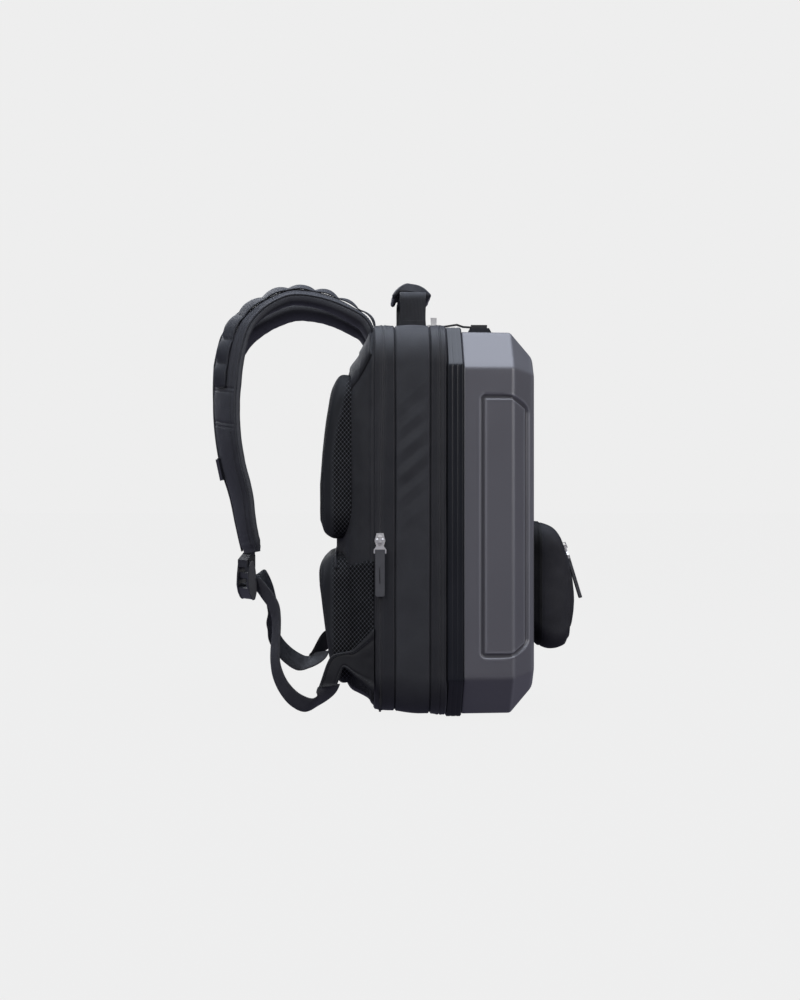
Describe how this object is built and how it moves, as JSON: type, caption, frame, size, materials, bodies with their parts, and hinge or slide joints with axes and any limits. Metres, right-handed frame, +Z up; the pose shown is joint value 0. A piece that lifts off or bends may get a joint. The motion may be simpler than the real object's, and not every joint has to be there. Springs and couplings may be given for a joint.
{
  "type": "hard shell backpack",
  "caption": "Laptop backpack with a faceted hard front shell, soft zipped body, front pouch, padded back, shoulder straps and top carry handle.",
  "frame": {"origin": "Middle of the shell frame's flat base, on the ground under the bag", "axes": "+Z up; the hard shell faces -Y and the wearer's back is at +Y; +X runs across the body, with the bag's left side, as the wearer has it, at -X"},
  "size_m": [0.314, 0.4398, 0.5029],
  "materials": {
    "shell": "satin graphite hard shell",
    "frame": "glossy black ribbed frame",
    "fabric": "fine matt dark grey polyester",
    "zip_tape": "coated zip tape and coil",
    "mesh": "black air mesh over foam",
    "webbing": "woven dark webbing",
    "buckle": "black acetal",
    "rubber": "moulded grey rubber",
    "metal": "bright nickel"
  },
  "bodies": {
    "bag": {"shell": "shell", "shell_frame": "frame", "zip_band_front": "zip_tape", "gusset": "fabric", "zip_band_back": "zip_tape", "back_panel": "fabric", "upper_pad": "mesh", "lower_pad": "mesh", "handle_webbing": "webbing", "handle_grip": "webbing", "pouch": "fabric", "top_zip_slider": "metal", "top_puller": "rubber", "puller_stub": "rubber", "lock_dock": "buckle", "side_zip_slider": "metal", "pouch_zip_slider": "metal", "strap_pad_left": "fabric", "strap_pad_right": "fabric", "daisy_chain_left": "webbing", "daisy_chain_right": "webbing", "lower_webbing_left": "webbing", "lower_webbing_right": "webbing", "corner_tab_left": "fabric", "corner_tab_right": "fabric", "strap_slide_left": "buckle", "strap_slide_right": "buckle", "ladder_lock_left": "buckle", "ladder_lock_right": "buckle", "buckle_loop_left": "webbing", "buckle_loop_right": "webbing"},
    "side_pull": {"side_zip_pull": "metal", "side_zip_pull_tab": "rubber"},
    "pouch_pull": {"pouch_zip_pull": "metal", "pouch_zip_pull_tab": "rubber"}
  },
  "joints": [
    {"name": "side_pull_swing", "type": "hinge", "parent": "bag", "child": "side_pull", "pos_m": [-0.15503, 0.08428, 0.203], "axis": [0, 1, 0], "range_deg": [0, 150]},
    {"name": "pouch_pull_swing", "type": "hinge", "parent": "bag", "child": "pouch_pull", "pos_m": [-0.07, -0.13277, 0.19378], "axis": [-1, 0, 0], "range_deg": [0, 150]}
  ]
}
